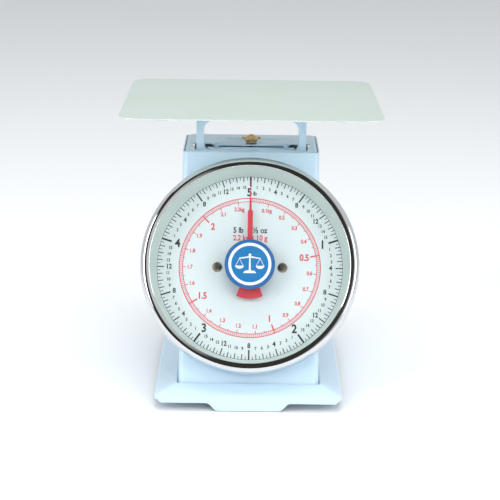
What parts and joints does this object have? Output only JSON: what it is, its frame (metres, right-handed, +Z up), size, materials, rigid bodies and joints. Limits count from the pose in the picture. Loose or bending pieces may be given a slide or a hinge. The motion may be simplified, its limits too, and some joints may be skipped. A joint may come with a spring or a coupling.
{
  "type": "table spring scale",
  "caption": "Table-top dial spring scale: flat tray on two posts over a sloping painted housing with a large round dial in a chrome bezel.",
  "frame": {"origin": "on the table, under the middle of the whole scale's box", "axes": "+Z up; the dial faces -Y and leans back 25.5 degrees; +X to the right of someone who reads the dial"},
  "size_m": [0.238, 0.258, 0.26],
  "materials": {
    "blue_enamel": "light blue stoved enamel, glossy",
    "stainless_sheet": "brushed stainless sheet",
    "chrome": "bright chrome plate",
    "dial_enamel": "white printed enamel, satin",
    "surround_plastic": "grey-green moulded styrene",
    "clear_acrylic": "clear cast acrylic, polished",
    "cap_plastic": "moulded blue ABS, glossy",
    "pointer_enamel": "red enamel",
    "brass": "machined brass",
    "zinc_plate": "zinc plated steel",
    "spring_steel": "drawn spring steel",
    "rubber": "moulded black rubber"
  },
  "bodies": {
    "root": {"base": "blue_enamel", "rubber_feet": "rubber", "foot_screws": "zinc_plate", "housing_shell": "blue_enamel", "rear_cover": "blue_enamel", "rear_cover_screws": "zinc_plate", "top_cover": "blue_enamel", "dial_drum": "blue_enamel", "bezel": "chrome", "lens": "clear_acrylic", "lens_gasket": "rubber", "dial_surround": "surround_plastic", "hub_cap": "cap_plastic", "dial_plate": "dial_enamel", "dial_screws": "zinc_plate", "dial_posts": "zinc_plate", "front_movement_plate": "brass", "rear_movement_plate": "brass", "movement_pillars": "brass", "movement_spacers": "zinc_plate", "movement_screws": "zinc_plate", "front_bush": "brass", "rear_bush": "brass", "rack_guide": "brass", "chassis_frame": "zinc_plate", "chassis_screws": "zinc_plate", "link_pivot_pins": "spring_steel", "left_spring": "spring_steel", "right_spring": "spring_steel", "travel_stops": "rubber"},
    "pointer_shaft": {"arbor": "spring_steel", "pinion": "brass", "pointer": "pointer_enamel", "pointer_hub": "brass"},
    "rack": {"rack": "brass", "rack_pin": "spring_steel"},
    "platform": {"left_post": "blue_enamel", "right_post": "blue_enamel", "top_bar": "blue_enamel", "cross_channel": "blue_enamel", "drive_bar": "zinc_plate", "drive_arm": "zinc_plate", "drive_arm_rivets": "spring_steel", "spring_bar": "zinc_plate", "link_front_pins": "spring_steel", "tray_spider": "blue_enamel", "spider_screws": "zinc_plate", "tray_pads": "rubber"},
    "upper_link": {"upper_link": "zinc_plate"},
    "lower_link": {"lower_link": "zinc_plate"},
    "zero_adjuster": {"zero_knob": "brass", "zero_screw": "spring_steel", "screw_collars": "spring_steel"},
    "spring_hanger": {"spring_hanger": "zinc_plate"},
    "tray": {"tray": "stainless_sheet", "tray_locators": "spring_steel"}
  },
  "joints": [
    {"name": "platform_travel", "type": "slide", "parent": "root", "child": "platform", "axis": [0, 0, -1], "range_m": [0, 0.01701], "stiffness_N_per_m": 1307.3, "springref_m": -0.0095, "deforming": ["left_spring", "right_spring"]},
    {"name": "rack_slide", "type": "slide", "parent": "root", "child": "rack", "axis": [0, -0.4305, -0.9026], "range_m": [0, 0.01885]},
    {"name": "pointer_turn", "type": "hinge", "parent": "root", "child": "pointer_shaft", "pos_m": [0, -0.06358, 0.11622], "axis": [0, 0.9026, -0.4305], "range_deg": [0, 360.01]},
    {"name": "upper_link_swing", "type": "hinge", "parent": "root", "child": "upper_link", "pos_m": [0, 0.057, 0.175], "axis": [1, 0, 0], "range_deg": [0, 18.83]},
    {"name": "lower_link_swing", "type": "hinge", "parent": "root", "child": "lower_link", "pos_m": [0, 0.057, 0.055], "axis": [1, 0, 0], "range_deg": [0, 18.83]},
    {"name": "zero_knob_turn", "type": "hinge", "parent": "root", "child": "zero_adjuster", "pos_m": [0, 0.027, 0.2158], "axis": [0, 0, 1], "range_deg": [-540, 540]},
    {"name": "hanger_slide", "type": "slide", "parent": "root", "child": "spring_hanger", "axis": [0, 0, 1], "range_m": [-0.0011, 0.0011]},
    {"name": "tray_lift", "type": "slide", "parent": "platform", "child": "tray", "axis": [0, 0, 1], "range_m": [0, 0.03]}
  ],
  "couplings": [
    {"joint": "rack_slide", "follows": "platform_travel", "ratio": 1.1079},
    {"joint": "pointer_turn", "follows": "platform_travel", "rad_per_m": 369.31},
    {"joint": "upper_link_swing", "follows": "platform_travel", "rad_per_m": 19.318},
    {"joint": "lower_link_swing", "follows": "platform_travel", "rad_per_m": 19.318},
    {"joint": "hanger_slide", "follows": "zero_knob_turn", "m_per_rad": -0.00011141}
  ]
}
